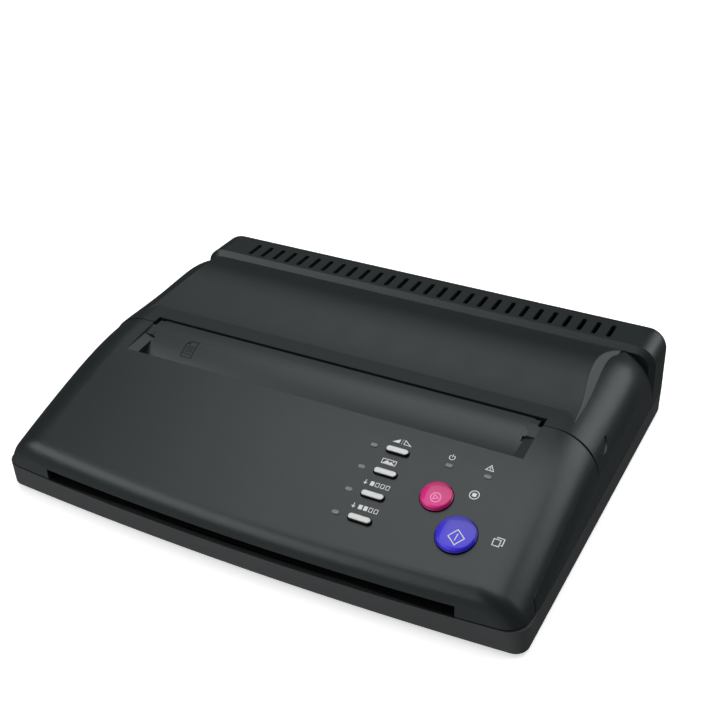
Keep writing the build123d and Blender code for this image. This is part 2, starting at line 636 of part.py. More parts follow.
with BuildPart() as bushings:
    for c, bore in ((PLATEN, 3.05), (FEED, 2.55), (EXIT, 2.05)):
        for xa, xb in ((115.6, 118.4), (-118.4, -115.6)):
            add(cyl_x(xa, xb, c[0], c[1], BUSH_R))
            add(cyl_x(xa - 1, xb + 1, c[0], c[1], bore), mode=Mode.SUBTRACT)
bushings.part.label = "bushings"
export_step(bushings.part, "parts/bushings.step")
with BuildPart() as cross_bar:
    add(box(-FRAME_IN, FRAME_IN, -18.0, -16.0, 20.0, 40.0))
cross_bar.part.label = "cross_bar"
export_step(cross_bar.part, "parts/cross_bar.step")

# ---------------------------------------------------------------------------
# Gear train on the right-hand side
# ---------------------------------------------------------------------------
GEAR_X = (119.5, 124.5)
PA = math.radians(20.0)
BACKLASH = 0.16


def inv(a):
    return math.tan(a) - a


def half_angle(n, r):
    rp, rb = MOD * n / 2, MOD * n / 2 * math.cos(PA)
    a = math.acos(min(1.0, rb / max(r, rb)))
    return math.pi / (2 * n) - BACKLASH / (2 * rp) + inv(PA) - inv(a)


def gear(n, c, first, x0, x1, bore):
    """Spur gear on an X axis; first is the angle of one tooth (0 = +Y, 90 = +Z)."""
    rp = MOD * n / 2
    rb = rp * math.cos(PA)
    tip, root = rp + 0.9, rp - 1.2
    radii = [max(rb, root + 0.05) + (tip - max(rb, root + 0.05)) * k / 4 for k in range(5)]
    pts = []
    for i in range(n):
        a = first + 2 * math.pi * i / n
        h0 = half_angle(n, radii[0])
        left = [(root, a - h0 - 0.02)] + [(r, a - half_angle(n, r)) for r in radii]
        right = [(r, a + half_angle(n, r)) for r in reversed(radii)] + [(root, a + h0 + 0.02)]
        pts += left + right
    xy = [(c[0] + r * math.cos(t), c[1] + r * math.sin(t)) for r, t in pts]
    with BuildPart() as g:
        with BuildSketch(Plane.YZ.offset(x0)):
            with BuildLine():
                Polyline(*xy, close=True)
            make_face()
            with Locations(c):
                Circle(bore, mode=Mode.SUBTRACT)
        extrude(amount=x1 - x0)
        if n >= 20:
            # recessed web on the outer face
            with BuildSketch(Plane.YZ.offset(x1)):
                with Locations(c):
                    Circle(root - 1.8)
                    Circle(bore + 2.2, mode=Mode.SUBTRACT)
            extrude(amount=-1.4, mode=Mode.SUBTRACT)
    return g.part


def mesh(c_a, n_a, first_a, c_b, n_b):
    """Angle of a tooth of gear b that meshes with gear a."""
    phi = math.atan2(c_b[1] - c_a[1], c_b[0] - c_a[0])
    u = (phi - first_a) / (2 * math.pi / n_a)
    return phi + math.pi + (u + 0.5) * (2 * math.pi / n_b)


A_PLATEN = 0.1
A_IDLE1 = mesh(PLATEN, N_PLATEN, A_PLATEN, IDLE1, N_IDLE1)
A_IDLE2 = mesh(IDLE1, N_IDLE1, A_IDLE1, IDLE2, N_IDLE2)
A_FEED = mesh(IDLE2, N_IDLE2, A_IDLE2, FEED, N_FEED)
A_EXIT = mesh(FEED, N_FEED, A_FEED, EXIT, N_EXIT)
A_MOTOR = mesh(PLATEN, N_PLATEN, A_PLATEN, MOTOR, N_MOTOR)
for name, n, c, a, bore in (("platen_gear", N_PLATEN, PLATEN, A_PLATEN, 3.0), ("idler_gear_1", N_IDLE1, IDLE1, A_IDLE1, 2.05),
                            ("idler_gear_2", N_IDLE2, IDLE2, A_IDLE2, 2.05), ("feed_gear", N_FEED, FEED, A_FEED, 2.5),
                            ("exit_gear", N_EXIT, EXIT, A_EXIT, 2.0)):
    with BuildPart() as wheel:
        add(gear(n, c, a, GEAR_X[0], GEAR_X[1], bore))
    wheel.part.label = name
    export_step(wheel.part, f"parts/{name}.step")
with BuildPart() as motor_pinion:
    add(gear(N_MOTOR, MOTOR, A_MOTOR, GEAR_X[0] - 0.5, GEAR_X[1] + 0.5, 1.5))
motor_pinion.part.label = "motor_pinion"
export_step(motor_pinion.part, "parts/motor_pinion.step")

with BuildPart() as idler_posts:
    for c in (IDLE1, IDLE2):
        add(cyl_x(FRAME_OUT, GEAR_X[1] + 0.2, c[0], c[1], 2.0))
        add(cyl_x(FRAME_OUT, GEAR_X[0] - 0.2, c[0], c[1], 3.4))
        add(cyl_x(GEAR_X[1] + 0.2, GEAR_X[1] + 1.0, c[0], c[1], 3.2))
idler_posts.part.label = "idler_posts"
export_step(idler_posts.part, "parts/idler_posts.step")

# ---------------------------------------------------------------------------
# Rollers
# ---------------------------------------------------------------------------
for name, c, r, xa, xb in (("platen_shaft", PLATEN, 3.0, -121, 126), ("feed_roller_shaft", FEED, 2.5, -121, 126),
                           ("exit_roller_shaft", EXIT, 2.0, -121, 126)):
    with BuildPart() as shaft:
        add(cyl_x(xa, xb, c[0], c[1], r))
        ends = shaft.edges().filter_by(GeomType.CIRCLE)
        chamfer(ends, 0.4)
    shaft.part.label = name
    export_step(shaft.part, f"parts/{name}.step")
for name, c, r0, r1, spans in (("platen_rubber", PLATEN, 3.0, 8.0, [(-107, 107)]),
                               ("feed_roller_rubber", FEED, 2.5, 4.5, [(-107, 107)]),
                               ("exit_roller_tyres", EXIT, 2.0, 4.0, [(x - 5, x + 5) for x in (-90, -45, 0, 45, 90)])):
    with BuildPart() as rubber:
        for xa, xb in spans:
            with BuildSketch(Plane.YZ.offset(xa)):
                with Locations(c):
                    Circle(r1)
                    Circle(r0, mode=Mode.SUBTRACT)
            extrude(amount=xb - xa)
    rubber.part.label = name
    export_step(rubber.part, f"parts/{name}.step")

# ---------------------------------------------------------------------------
# Reading bar under the feed roller
# ---------------------------------------------------------------------------
with BuildPart() as scanner_bar:
    add(box(-112, 112, -75.4, -60, 9.8, 20.2))
    long_edges = scanner_bar.edges().filter_by(Axis.X).group_by(Axis.Z)[-1]
    chamfer(long_edges, 0.8)
    # seat for the glass
    add(box(-108, 108, -73.6, -61.8, 19.4, 22), mode=Mode.SUBTRACT)
    # spring pockets
    for x in (-90, 90):
        add(cyl_z(x, -68, 9, 11.8, 4.0), mode=Mode.SUBTRACT)
scanner_bar.part.label = "scanner_bar"
export_step(scanner_bar.part, "parts/scanner_bar.step")
with BuildPart() as scanner_glass:
    add(box(-107.9, 107.9, -73.5, -61.9, 19.4, 20.8))
scanner_glass.part.label = "scanner_glass"
export_step(scanner_glass.part, "parts/scanner_glass.step")
with BuildPart() as scanner_springs:
    for x in (-90, 90):
        add(coil(x, -68, 5.0, "z", 6.8, 2.8, 0.6, 4))
scanner_springs.part.label = "scanner_springs"
export_step(scanner_springs.part, "parts/scanner_springs.step")

# ---------------------------------------------------------------------------
# Thermal head against the platen
# ---------------------------------------------------------------------------
with BuildPart() as thermal_head:
    add(yz_prism([(-3.5, 20.0), (-1.9, 20.0), (-1.9, 28.4), (-0.5, 29.0), (-0.1, 29.6), (-0.1, 30.4), (-0.5, 31.0),
                  (-1.9, 31.6), (-1.9, 40.0), (-3.5, 40.0)], -106, 106))
thermal_head.part.label = "thermal_head"
export_step(thermal_head.part, "parts/thermal_head.step")
with BuildPart() as head_heat_sink:
    add(yz_prism([(-10, 18), (-3.5, 18), (-3.5, 42), (-10, 42), (-10, 38), (-6, 38), (-6, 35), (-10, 35), (-10, 25),
                  (-6, 25), (-6, 22), (-10, 22)], -108, 108))
head_heat_sink.part.label = "head_heat_sink"
export_step(head_heat_sink.part, "parts/head_heat_sink.step")
with BuildPart() as head_springs:
    for x in (-84, -28, 28, 84):
        add(coil(x, -16.0, 30.0, "y", 6.0, 3.0, 0.6, 4))
head_springs.part.label = "head_springs"
export_step(head_springs.part, "parts/head_springs.step")

# ---------------------------------------------------------------------------
# Motor
# ---------------------------------------------------------------------------
with BuildPart() as drive_motor:
    add(cyl_x(88.0, 115.2, MOTOR[0], MOTOR[1], 12.0))
    back = [e for e in drive_motor.edges().filter_by(GeomType.CIRCLE) if e.center().X < 90]
    fillet(back, 1.2)
    add(cyl_x(115.2, 116.4, MOTOR[0], MOTOR[1], 12.0))
    add(box(115.2, 116.4, MOTOR[0] - 4.5, MOTOR[0] + 4.5, MOTOR[1] - 12.5, MOTOR[1] + 11.0))
    add(cyl_x(115.0, 118.0, MOTOR[0], MOTOR[1], 3.9))
    add(cyl_x(86.0, 88.5, MOTOR[0], MOTOR[1], 3.9))
    add(cyl_x(85.0, 119.0, MOTOR[0], MOTOR[1], 1.55), mode=Mode.SUBTRACT)
drive_motor.part.label = "drive_motor"
export_step(drive_motor.part, "parts/drive_motor.step")
with BuildPart() as motor_shaft:
    add(cyl_x(87.0, 126.0, MOTOR[0], MOTOR[1], 1.5))
motor_shaft.part.label = "motor_shaft"
export_step(motor_shaft.part, "parts/motor_shaft.step")

# ---------------------------------------------------------------------------
# Sheet guides
# ---------------------------------------------------------------------------


def bent(points, t):
    """Sheet of thickness t under a polyline given as (y, z)."""
    low = inset(points, t)
    if low[0][1] > points[0][1]:
        low = inset(points, -t)
    return points + low[::-1]


LEVER_X = (60.0, 66.0)
with BuildPart() as entry_guide:
    add(yz_prism(bent([(-47.0, 28.5), (-59.5, 22.0)], 0.8), -FRAME_IN, FRAME_IN))
    add(box(LEVER_X[0] - 0.5, LEVER_X[1] + 0.5, -59.0, -49.0, 15, 35), mode=Mode.SUBTRACT)
entry_guide.part.label = "entry_guide"
export_step(entry_guide.part, "parts/entry_guide.step")
with BuildPart() as exit_guide:
    add(yz_prism(bent([(-76.6, 20.3), (-104.5, 16.8)], 0.8), -FRAME_IN, FRAME_IN))
    for s in (-1, 1):
        xa, xb = (115.2, 120) if s > 0 else (-120, -115.2)
        add(box(xa, xb, -86.0, -75.0, 10, 30), mode=Mode.SUBTRACT)
    for s in (-1, 1):
        xa, xb = (106.8, 120) if s > 0 else (-120, -106.8)
        add(box(xa, xb, -110, -97, 10, 30), mode=Mode.SUBTRACT)
    for x in (-90, -45, 0, 45, 90):
        add(box(x - 6, x + 6, EXIT[0] - 4.9, EXIT[0] + 3.6, 10, 30), mode=Mode.SUBTRACT)
exit_guide.part.label = "exit_guide"
export_step(exit_guide.part, "parts/exit_guide.step")
with BuildPart() as stencil_guide:
    line = [(-2.0, 17.6), (3.0, 12.6), (9.0, 9.6), (18.0, 8.0), (101.0, 8.0)]
    add(yz_prism(line + [(101.0, 7.2), (17.9, 7.2), (8.7, 8.85), (2.5, 12.0), (-2.6, 17.1)], -110, 110))
stencil_guide.part.label = "stencil_guide"
export_step(stencil_guide.part, "parts/stencil_guide.step")

# ---------------------------------------------------------------------------
# Document sensor
# ---------------------------------------------------------------------------
PIVOT = (-49.0, 20.8)
with BuildPart() as document_sensor_bracket:
    for xa, xb in ((57.5, 59.0), (67.0, 68.5)):
        add(yz_prism([(-53, 5), (-46, 5), (-46.5, 21.5), (-48, 23.2), (-50, 23.2), (-51.5, 21.5)], xa, xb))
    add(box(57.5, 68.5, -53, -46, 5.0, 6.5))
    add(cyl_x(57.5, 68.5, PIVOT[0], PIVOT[1], 1.0))
document_sensor_bracket.part.label = "document_sensor_bracket"
export_step(document_sensor_bracket.part, "parts/document_sensor_bracket.step")
LEAN = math.radians(48)
tip = (PIVOT[0] - 8.6 * math.sin(LEAN), PIVOT[1] + 8.6 * math.cos(LEAN))
nrm = (math.cos(LEAN), math.sin(LEAN))
with BuildPart() as document_sensor_lever:
    add(cyl_x(LEVER_X[0], LEVER_X[1], PIVOT[0], PIVOT[1], 2.2))
    add(yz_prism([(PIVOT[0] + 1.1 * nrm[0], PIVOT[1] + 1.1 * nrm[1]), (tip[0] + 0.7 * nrm[0], tip[1] + 0.7 * nrm[1]),
                  (tip[0] - 0.7 * nrm[0], tip[1] - 0.7 * nrm[1]), (PIVOT[0] - 1.1 * nrm[0], PIVOT[1] - 1.1 * nrm[1])],
                 LEVER_X[0] + 0.6, LEVER_X[1] - 0.6))
    add(box(LEVER_X[0] + 2.2, LEVER_X[1] - 2.2, PIVOT[0] - 0.8, PIVOT[0] + 0.8, PIVOT[1] - 9.0, PIVOT[1]))
    add(cyl_x(LEVER_X[0] - 1, LEVER_X[1] + 1, PIVOT[0], PIVOT[1], 1.05), mode=Mode.SUBTRACT)
document_sensor_lever.part.label = "document_sensor_lever"
export_step(document_sensor_lever.part, "parts/document_sensor_lever.step")

# ---------------------------------------------------------------------------
# Main board, power inlet, switch
# ---------------------------------------------------------------------------
BOARD_POSTS = [(-114.0, 66.0), (114.0, 66.0), (-114.0, 93.0), (114.0, 93.0)]
with BuildPart() as main_board:
    add(box(-118, 118, 62, 98, 22.4, 24.0))
main_board.part.label = "main_board"
export_step(main_board.part, "parts/main_board.step")
with BuildPart() as board_spacers:
    for x, y in BOARD_POSTS:
        add(cyl_z(x, y, 5.0, 22.4, 3.0))
board_spacers.part.label = "board_spacers"
export_step(board_spacers.part, "parts/board_spacers.step")
with BuildPart() as board_components:
    for x0, x1, y0, y1, h in ((-20, 8, 68, 92, 3.0), (-48, -34, 70, 84, 2.2), (20, 34, 72, 90, 2.6), (60, 78, 66, 74, 8.0),
                              (60, 78, 82, 90, 8.0), (90, 108, 68, 80, 10.0)):
        add(box(x0, x1, y0, y1, 24.0, 24.0 + h))
    for x, y in ((42, 70), (50, 70), (42, 84), (-110, 72), (-110, 82)):
        add(cyl_z(x, y, 24.0, 36.0, 3.0))
board_components.part.label = "board_components"
export_step(board_components.part, "parts/board_components.step")
with BuildPart() as dc_jack:
    add(box(-107.0, -93.0, 92.0, REAR_Y, 24.0, 37.0))
    with BuildSketch(Plane.XZ.offset(-REAR_Y)):
        with Locations((-100.0, 31.3)):
            Circle(3.2)
    extrude(amount=9.0, mode=Mode.SUBTRACT)
    with BuildSketch(Plane.XZ.offset(-REAR_Y + 9.0)):
        with Locations((-100.0, 31.3)):
            Circle(1.0)
    extrude(amount=-8.0)
dc_jack.part.label = "dc_jack"
export_step(dc_jack.part, "parts/dc_jack.step")
ROCK = (-70.0, 101.9, 32.0)
with BuildPart() as power_switch_body:
    add(box(-79.0, -61.0, 90.0, REAR_Y, 25.0, 39.0))
    add(box(-77.6, -62.4, 97.0, 110.0, 25.4, 38.6), mode=Mode.SUBTRACT)
    add(cyl_x(-78.6, -61.4, ROCK[1], ROCK[2], 1.05), mode=Mode.SUBTRACT)
power_switch_body.part.label = "power_switch_body"
export_step(power_switch_body.part, "parts/power_switch_body.step")
with BuildPart() as power_rocker:
    add(yz_prism([(ROCK[1] - 2.5, ROCK[2] - 4.0), (ROCK[1] + 3.2, ROCK[2] - 5.8), (ROCK[1] + 2.2, ROCK[2]),
                  (ROCK[1] + 3.2, ROCK[2] + 5.8), (ROCK[1] - 2.5, ROCK[2] + 4.0)], -77.3, -62.7))
    add(cyl_x(-78.5, -61.5, ROCK[1], ROCK[2], 1.0))
tilted = power_rocker.part.rotate(Axis((0, ROCK[1], ROCK[2]), (1, 0, 0)), -7)
tilted.label = "power_rocker"
export_step(tilted, "parts/power_rocker.step")
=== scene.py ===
import bpy, bmesh, math
from mathutils import Vector, Matrix


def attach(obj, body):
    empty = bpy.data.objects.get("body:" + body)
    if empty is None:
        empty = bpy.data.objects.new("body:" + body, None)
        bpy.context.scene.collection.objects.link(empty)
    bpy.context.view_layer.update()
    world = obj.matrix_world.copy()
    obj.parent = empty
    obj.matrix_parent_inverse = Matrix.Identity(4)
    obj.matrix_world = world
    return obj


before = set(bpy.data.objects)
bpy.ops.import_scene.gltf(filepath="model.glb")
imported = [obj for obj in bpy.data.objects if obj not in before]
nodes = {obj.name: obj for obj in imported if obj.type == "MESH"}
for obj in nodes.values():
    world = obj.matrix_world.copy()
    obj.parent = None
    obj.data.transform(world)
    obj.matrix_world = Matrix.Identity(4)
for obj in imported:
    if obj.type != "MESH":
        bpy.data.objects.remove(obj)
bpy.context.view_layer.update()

# ---------------------------------------------------------------------------
# Camera, at the photograph's angle
# ---------------------------------------------------------------------------
cam_data = bpy.data.cameras.new("camera")
cam_data.sensor_width = 36.0
cam_data.lens = 58.628
cam_data.shift_x = -0.08937
cam_data.shift_y = -0.02151
cam_data.clip_end = 50
camera = bpy.data.objects.new("camera", cam_data)
bpy.context.scene.collection.objects.link(camera)
camera.location = (0.24952, -0.43092, 0.36624)
camera.rotation_euler = (math.radians(90) - 0.5477, 0, 0.4459)
bpy.context.scene.camera = camera


# ---------------------------------------------------------------------------
# Materials
# ---------------------------------------------------------------------------
def new_mat(name):
    m = bpy.data.materials.new(name)
    m.use_nodes = True
    nt = m.node_tree
    bsdf = nt.nodes["Principled BSDF"]
    return m, nt, bsdf


def coords(nt):
    return nt.nodes.new("ShaderNodeTexCoord").outputs["Object"]


def noise(nt, vec, scale, detail=3.0, rough=0.5):
    n = nt.nodes.new("ShaderNodeTexNoise")
    n.inputs["Scale"].default_value = scale
    n.inputs["Detail"].default_value = detail
    n.inputs["Roughness"].default_value = rough
    nt.links.new(vec, n.inputs["Vector"])
    return n.outputs["Fac"]


def ramp(nt, fac, stops):
    r = nt.nodes.new("ShaderNodeValToRGB")
    el = r.color_ramp.elements
    while len(el) < len(stops):
        el.new(0.5)
    for e, (p, c) in zip(el, stops):
        e.position = p
        e.color = (*c, 1) if len(c) == 3 else c
    nt.links.new(fac, r.inputs["Fac"])
    return r.outputs["Color"]


def bump(nt, height, strength, distance):
    b = nt.nodes.new("ShaderNodeBump")
    b.inputs["Strength"].default_value = strength
    b.inputs["Distance"].default_value = distance
    nt.links.new(height, b.inputs["Height"])
    return b


def plastic(name, color, rough=0.4, vary=0.12, rough_vary=0.06, grain=2600.0, grain_depth=0.00001, strength=0.25,
            spec=0.5, coat=0.0, tint=None):
    m, nt, bsdf = new_mat(name)
    v = coords(nt)
    big = noise(nt, v, 18.0, 4.0)
    lo = tuple(c * (1 - vary) for c in color)
    hi = tuple(c * (1 + vary) for c in color)
    nt.links.new(ramp(nt, big, [(0.3, lo), (0.7, hi)]), bsdf.inputs["Base Color"])
    mid = noise(nt, v, 160.0, 3.0)
    nt.links.new(ramp(nt, mid, [(0.3, (rough - rough_vary,) * 3), (0.7, (rough + rough_vary,) * 3)]),
                 bsdf.inputs["Roughness"])
    b = bump(nt, noise(nt, v, grain, 2.0), strength, grain_depth)
    nt.links.new(b.outputs["Normal"], bsdf.inputs["Normal"])
    bsdf.inputs["Specular IOR Level"].default_value = spec
    if tint:
        bsdf.inputs["Specular Tint"].default_value = (*tint, 1)
    if coat:
        bsdf.inputs["Coat Weight"].default_value = coat
        bsdf.inputs["Coat Roughness"].default_value = 0.08
    return m


def metal(name, color, rough=0.3, brushed=(1, 1, 1), scale=300.0, depth=0.000008, vary=0.1, strength=0.4):
    m, nt, bsdf = new_mat(name)
    bsdf.inputs["Metallic"].default_value = 1.0
    v = coords(nt)
    mp = nt.nodes.new("ShaderNodeMapping")
    mp.inputs["Scale"].default_value = brushed
    nt.links.new(v, mp.inputs["Vector"])
    fine = noise(nt, mp.outputs["Vector"], scale, 3.0)
    lo = tuple(c * (1 - vary) for c in color)
    hi = tuple(min(1, c * (1 + vary)) for c in color)
    nt.links.new(ramp(nt, noise(nt, v, 40.0), [(0.3, lo), (0.7, hi)]), bsdf.inputs["Base Color"])
    nt.links.new(ramp(nt, fine, [(0.3, (rough * 0.8,) * 3), (0.7, (rough * 1.25,) * 3)]), bsdf.inputs["Roughness"])
    b = bump(nt, fine, strength, depth)
    nt.links.new(b.outputs["Normal"], bsdf.inputs["Normal"])
    return m


COOL = (0.94, 1.0, 1.01)
CASE = (0.0078, 0.0116, 0.0126)
m_panel = plastic("panel_satin_black", CASE, rough=0.37, vary=0.03, rough_vary=0.012, grain=3800.0, strength=0.10,
                  tint=COOL)
m_house = plastic("housing_satin_black", (0.0075, 0.0110, 0.0120), rough=0.38, vary=0.03, rough_vary=0.012,
                  grain=3800.0, strength=0.12, tint=COOL)
m_tray = plastic("tray_satin_black", (0.0245, 0.0275, 0.0285), rough=0.46, vary=0.04, rough_vary=0.015,
                 grain=3400.0, strength=0.14, tint=COOL)
m_latch = plastic("latch_black", (0.0068, 0.0098, 0.0107), rough=0.40, vary=0.03, rough_vary=0.015,
                  tint=COOL)
m_rubber = plastic("roller_rubber", (0.012, 0.012, 0.0125), rough=0.75, vary=0.2, grain=1500.0, grain_depth=0.00002,
                   strength=0.5, spec=0.35)
m_foot = plastic("foot_rubber", (0.014, 0.014, 0.0145), rough=0.8, vary=0.2, grain=900.0, grain_depth=0.00003, spec=0.3)
m_comp = plastic("moulded_black", (0.012, 0.0125, 0.013), rough=0.5, vary=0.15, grain=1800.0, strength=0.3)
# guides are black plastic, made darker than the other black plastic as painted shade so the paper slots read pure black
m_dark = plastic("guide_black_painted_shade", (0.0030, 0.0032, 0.0034), rough=0.6, vary=0.15, grain=1800.0, strength=0.3, spec=0.12)
m_acetal = plastic("acetal_white", (0.72, 0.71, 0.66), rough=0.38, vary=0.03, grain=900.0, strength=0.1)
m_ceramic = plastic("ceramic", (0.66, 0.65, 0.60), rough=0.2, vary=0.05, grain=600.0, strength=0.05, coat=0.5)
m_zinc = metal("zinc_plated_sheet", (0.56, 0.57, 0.58), rough=0.38, scale=140.0, vary=0.18, strength=0.15)
m_steel = metal("ground_steel", (0.60, 0.61, 0.62), rough=0.22, brushed=(0.15, 1, 1), scale=1500.0)
m_spring = metal("spring_wire", (0.42, 0.42, 0.43), rough=0.3, scale=600.0)
m_alu = metal("extruded_aluminium", (0.68, 0.69, 0.70), rough=0.35, brushed=(0.02, 1, 1), scale=2200.0)
m_brass = metal("machined_brass", (0.74, 0.53, 0.20), rough=0.25, brushed=(1, 0.2, 0.2), scale=1200.0)
m_motor = metal("motor_can", (0.42, 0.43, 0.44), rough=0.34, scale=180.0, vary=0.12)


TILT = math.radians(17.5)
KN = Vector((0, -math.sin(TILT), math.cos(TILT)))   # outward normal of the key field
KV = Vector((0, math.cos(TILT), math.sin(TILT)))    # up the key field


def key_dome(name, color, painted_shade_color, low, high, rough=0.16, edge=(0.30, 0.50)):
    """Clear-coated translucent cap with painted light and shade: lighter low down as painted light gathered in it,
    darker up the slope as painted shade, and its steep walls painted near-black as painted shade of the gap around the
    key."""
    m, nt, bsdf = new_mat(name)
    v = coords(nt)
    # painted light low on the key, painted shade up the slope
    along = nt.nodes.new("ShaderNodeVectorMath")
    along.operation = "DOT_PRODUCT"
    along.inputs[1].default_value = KV
    nt.links.new(v, along.inputs[0])
    grade = nt.nodes.new("ShaderNodeMapRange")
    grade.inputs["From Min"].default_value = low
    grade.inputs["From Max"].default_value = high
    nt.links.new(along.outputs["Value"], grade.inputs["Value"])
    body = ramp(nt, grade.outputs["Result"], [(0.0, tuple(min(1, c * 1.12) for c in color)), (0.45, color), (1.0, painted_shade_color)])
    # steep walls painted near-black: painted shade of the gap around the key
    geo = nt.nodes.new("ShaderNodeNewGeometry")
    dot = nt.nodes.new("ShaderNodeVectorMath")
    dot.operation = "DOT_PRODUCT"
    dot.inputs[1].default_value = KN
    nt.links.new(geo.outputs["Normal"], dot.inputs[0])
    mask = nt.nodes.new("ShaderNodeMapRange")
    mask.inputs["From Min"].default_value = edge[0]
    mask.inputs["From Max"].default_value = edge[1]
    nt.links.new(dot.outputs["Value"], mask.inputs["Value"])
    mix = nt.nodes.new("ShaderNodeMix")
    mix.data_type = "RGBA"
    nt.links.new(mask.outputs["Result"], mix.inputs["Factor"])
    mix.inputs["A"].default_value = (0.004, 0.004, 0.005, 1)
    nt.links.new(body, mix.inputs["B"])
    nt.links.new(mix.outputs["Result"], bsdf.inputs["Base Color"])
    bsdf.inputs["Roughness"].default_value = rough + 0.14
    bsdf.inputs["Specular IOR Level"].default_value = 0.25
    bsdf.inputs["Coat Weight"].default_value = 0.55
    bsdf.inputs["Coat Roughness"].default_value = 0.10
    b = bump(nt, noise(nt, v, 1800.0, 1.0), 0.05, 0.000005)
    nt.links.new(b.outputs["Normal"], bsdf.inputs["Normal"])
    return m


def reach(name):
    """Lowest and highest place of a key along the slope of the key field."""
    at = [KV.dot(c.co) for c in nodes[name].data.vertices]
    return min(at), max(at)


# caps and lenses carry painted light low down and painted shade up the slope; the lenses' range turns the painted gap
# shade off
m_stop = key_dome("cap_magenta", (0.62, 0.012, 0.19), (0.40, 0.006, 0.10), *reach("stop_key"))
m_copy = key_dome("cap_violet", (0.034, 0.020, 0.60), (0.040, 0.034, 0.30), *reach("copy_key"))
m_stop_lens = key_dome("lens_magenta", (0.62, 0.012, 0.19), (0.40, 0.006, 0.10), *reach("stop_key"), edge=(-3.0, -2.0))
m_copy_lens = key_dome("lens_violet", (0.034, 0.020, 0.60), (0.040, 0.034, 0.30), *reach("copy_key"), edge=(-3.0, -2.0))

def key_silver(name):
    """Silver-lacquered top on a black moulded body, told apart by the face's direction; the blend is wide, so the
    silver also darkens towards its rounded edges as painted shade.
    """
    m, nt, bsdf = new_mat(name)
    v = coords(nt)
    geo = nt.nodes.new("ShaderNodeNewGeometry")
    dot = nt.nodes.new("ShaderNodeVectorMath")
    dot.operation = "DOT_PRODUCT"
    dot.inputs[1].default_value = KN
    nt.links.new(geo.outputs["Normal"], dot.inputs[0])
    # wide blend: the silver darkens towards the rounded edges as painted shade; the black below is the key's own body
    # colour
    mask = nt.nodes.new("ShaderNodeMapRange")
    mask.inputs["From Min"].default_value = 0.70
    mask.inputs["From Max"].default_value = 0.93
    nt.links.new(dot.outputs["Value"], mask.inputs["Value"])
    n = noise(nt, v, 700.0, 3.0)
    silver = ramp(nt, n, [(0.3, (0.50, 0.51, 0.51)), (0.7, (0.56, 0.57, 0.57))])
    mix = nt.nodes.new("ShaderNodeMix")
    mix.data_type = "RGBA"
    nt.links.new(mask.outputs["Result"], mix.inputs["Factor"])
    mix.inputs["A"].default_value = (0.006, 0.006, 0.0065, 1)
    nt.links.new(silver, mix.inputs["B"])
    nt.links.new(mix.outputs["Result"], bsdf.inputs["Base Color"])
    bsdf.inputs["Roughness"].default_value = 0.28
    bsdf.inputs["Metallic"].default_value = 0.15
    bsdf.inputs["Coat Weight"].default_value = 0.4
    bsdf.inputs["Coat Roughness"].default_value = 0.12
    return m


m_key = key_silver("cap_silver")


def lens_mat():
    m, nt, bsdf = new_mat("indicator_lens")
    v = coords(nt)
    nt.links.new(ramp(nt, noise(nt, v, 900.0), [(0.3, (0.085, 0.088, 0.090)), (0.7, (0.120, 0.123, 0.126))]),
                 bsdf.inputs["Base Color"])
    bsdf.inputs["Roughness"].default_value = 0.25
    bsdf.inputs["Coat Weight"].default_value = 0.3
    return m


def glass_mat():
    m, nt, bsdf = new_mat("reading_glass")
    v = coords(nt)
    nt.links.new(ramp(nt, noise(nt, v, 60.0), [(0.3, (0.72, 0.80, 0.80)), (0.7, (0.80, 0.86, 0.86))]),
                 bsdf.inputs["Base Color"])
    bsdf.inputs["Roughness"].default_value = 0.03
    bsdf.inputs["Transmission Weight"].default_value = 0.9
    bsdf.inputs["IOR"].default_value = 1.5
    return m


def board_mat():
    """Green solder mask with faint copper runs under it."""
    m, nt, bsdf = new_mat("circuit_board")
    v = coords(nt)
    w = nt.nodes.new("ShaderNodeTexBrick")
    w.inputs["Scale"].default_value = 220.0
    w.inputs["Mortar Size"].default_value = 0.05
    w.inputs["Color1"].default_value = (0.006, 0.10, 0.035, 1)
    w.inputs["Color2"].default_value = (0.005, 0.085, 0.03, 1)
    w.inputs["Mortar"].default_value = (0.012, 0.17, 0.05, 1)
    nt.links.new(v, w.inputs["Vector"])
    nt.links.new(w.outputs["Color"], bsdf.inputs["Base Color"])
    bsdf.inputs["Roughness"].default_value = 0.3
    bsdf.inputs["Coat Weight"].default_value = 0.5
    b = bump(nt, w.outputs["Fac"], 0.3, 0.00002)
    nt.links.new(b.outputs["Normal"], bsdf.inputs["Normal"])
    return m


m_lens, m_glass, m_board = lens_mat(), glass_mat(), board_mat()
m_print = plastic("white_print", (0.66, 0.67, 0.67), rough=0.5, vary=0.04, rough_vary=0.03, grain=1200.0, strength=0.1)
m_pale = plastic("pale_print", (0.85, 0.30, 0.58), rough=0.4, vary=0.04, rough_vary=0.03, grain=1200.0, strength=0.1)
# moulded mark, coloured darker than the panel as painted shade of its relief
m_mark = plastic("moulded_mark_painted_shade", (0.0040, 0.0060, 0.0065), rough=0.5, vary=0.03, rough_vary=0.012, grain=1200.0,
                 strength=0.1, spec=0.35, tint=COOL)

